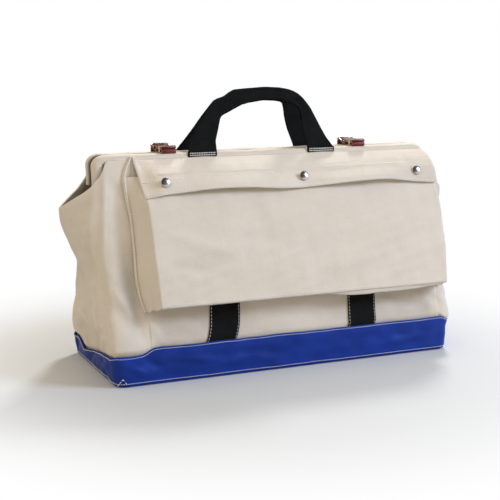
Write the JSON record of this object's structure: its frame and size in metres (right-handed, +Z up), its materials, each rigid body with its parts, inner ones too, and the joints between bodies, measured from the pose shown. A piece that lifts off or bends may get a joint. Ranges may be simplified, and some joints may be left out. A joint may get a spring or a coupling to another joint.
{
  "type": "canvas tool bag",
  "caption": "Undyed canvas tool bag with a blue vinyl bottom, hinged steel mouth frame, buckled straps, web handles and a flapped front pocket.",
  "frame": {"origin": "centre of the underside of the vinyl bottom, on the plane that the bag stands on", "axes": "+X along the bag to the right as seen from the pocket side, -Y out of the pocket side, +Z up"},
  "size_m": [0.724, 0.2605, 0.4652],
  "materials": {
    "natural canvas": "undyed heavy cotton duck",
    "blue vinyl": "coated cloth with a fine grain and a soft sheen",
    "black web": "close woven cotton web",
    "fibre board": "pressed fibre board",
    "zinc plated steel": "dull zinc plate",
    "nickel plate": "soft nickel shine",
    "oxblood leather": "dyed and waxed",
    "tan leather": "undyed split and cut edges"
  },
  "bodies": {
    "bag": {"vinyl_bottom": "blue vinyl", "canvas_base": "natural canvas", "base_board": "fibre board", "web_under_left": "black web", "web_under_right": "black web", "end_panel_left": "natural canvas", "end_panel_right": "natural canvas"},
    "front_side": {"front_panel": "natural canvas", "front_web_left": "black web", "front_web_right": "black web", "pocket": "natural canvas", "snap_stud_left": "nickel plate", "snap_stud_middle": "nickel plate", "snap_stud_right": "nickel plate"},
    "back_side": {"back_panel": "natural canvas", "back_web_left": "black web", "back_web_right": "black web"},
    "flap": {"pocket_flap": "natural canvas", "snap_cap_left": "nickel plate", "snap_cap_middle": "nickel plate", "snap_cap_right": "nickel plate", "snap_socket_left": "nickel plate", "snap_socket_middle": "nickel plate", "snap_socket_right": "nickel plate"},
    "pins": {"hinge_rivet_left": "zinc plated steel", "hinge_rivet_right": "zinc plated steel"},
    "front_frame": {"front_bow": "zinc plated steel", "front_hem": "natural canvas", "front_handle_base_left": "black web", "front_handle_base_right": "black web", "buckle_chape_left": "tan leather", "buckle_chape_right": "tan leather", "strap_keeper_left": "zinc plated steel", "strap_keeper_right": "zinc plated steel"},
    "back_frame": {"back_bow": "zinc plated steel", "back_hem": "natural canvas", "back_handle_base_left": "black web", "back_handle_base_right": "black web", "strap_anchor_left": "oxblood leather", "strap_anchor_right": "oxblood leather", "strap_rivet_left": "nickel plate", "strap_rivet_right": "nickel plate"},
    "front_grip": {"front_handle": "black web"},
    "back_grip": {"back_handle": "black web"},
    "strap_end_left": {"strap_left": "oxblood leather"},
    "buckle_left": {"buckle_frame_left": "nickel plate"},
    "pin_left": {"prong_left": "nickel plate"},
    "strap_end_right": {"strap_right": "oxblood leather"},
    "buckle_right": {"buckle_frame_right": "nickel plate"},
    "pin_right": {"prong_right": "nickel plate"}
  },
  "joints": [
    {"name": "pins_rise", "type": "slide", "parent": "bag", "child": "pins", "axis": [0, 0, 1], "range_m": [0, 0.0801]},
    {"name": "mouth", "type": "hinge", "parent": "pins", "child": "front_frame", "pos_m": [0, 0, 0.2625], "axis": [1, 0, 0], "range_deg": [0, 60]},
    {"name": "back_frame_turn", "type": "hinge", "parent": "pins", "child": "back_frame", "pos_m": [0, 0, 0.2625], "axis": [-1, 0, 0], "range_deg": [0, 60]},
    {"name": "front_side_lean", "type": "hinge", "parent": "bag", "child": "front_side", "pos_m": [0, -0.1225, 0.0577], "axis": [1, 0, 0], "range_deg": [0, 11.61]},
    {"name": "back_side_lean", "type": "hinge", "parent": "bag", "child": "back_side", "pos_m": [0, 0.1225, 0.0577], "axis": [-1, 0, 0], "range_deg": [0, 11.61]},
    {"name": "flap_lift", "type": "hinge", "parent": "front_side", "child": "flap", "pos_m": [0, -0.03426, 0.34502], "axis": [-1, 0, 0], "range_deg": [0, 55]},
    {"name": "front_grip_swing", "type": "hinge", "parent": "front_frame", "child": "front_grip", "pos_m": [0, -0.0282, 0.3579], "axis": [-1, 0, 0], "range_deg": [-105, 0]},
    {"name": "back_grip_swing", "type": "hinge", "parent": "back_frame", "child": "back_grip", "pos_m": [0, 0.0282, 0.3579], "axis": [1, 0, 0], "range_deg": [-105, 0]},
    {"name": "strap_lift_left", "type": "hinge", "parent": "back_frame", "child": "strap_end_left", "pos_m": [-0.18, 0.0292, 0.36615], "axis": [-1, 0, 0], "range_deg": [0, 100], "deforming": ["strap_left"]},
    {"name": "buckle_tip_left", "type": "hinge", "parent": "front_frame", "child": "buckle_left", "pos_m": [-0.18, 0.0005, 0.3607], "axis": [1, 0, 0], "range_deg": [0, 55]},
    {"name": "prong_lift_left", "type": "hinge", "parent": "buckle_left", "child": "pin_left", "pos_m": [-0.18, 0.0005, 0.3607], "axis": [1, 0, 0], "range_deg": [0, 60]},
    {"name": "strap_lift_right", "type": "hinge", "parent": "back_frame", "child": "strap_end_right", "pos_m": [0.172, 0.0292, 0.36615], "axis": [-1, 0, 0], "range_deg": [0, 100], "deforming": ["strap_right"]},
    {"name": "buckle_tip_right", "type": "hinge", "parent": "front_frame", "child": "buckle_right", "pos_m": [0.172, 0.0005, 0.3607], "axis": [1, 0, 0], "range_deg": [0, 55]},
    {"name": "prong_lift_right", "type": "hinge", "parent": "buckle_right", "child": "pin_right", "pos_m": [0.172, 0.0005, 0.3607], "axis": [1, 0, 0], "range_deg": [0, 60]}
  ],
  "couplings": [
    {"joint": "pins_rise", "follows": "mouth", "m_per_rad": 0.076489},
    {"joint": "back_frame_turn", "follows": "mouth", "ratio": 1},
    {"joint": "front_side_lean", "follows": "mouth", "ratio": 0.1935},
    {"joint": "back_side_lean", "follows": "mouth", "ratio": 0.1935}
  ]
}
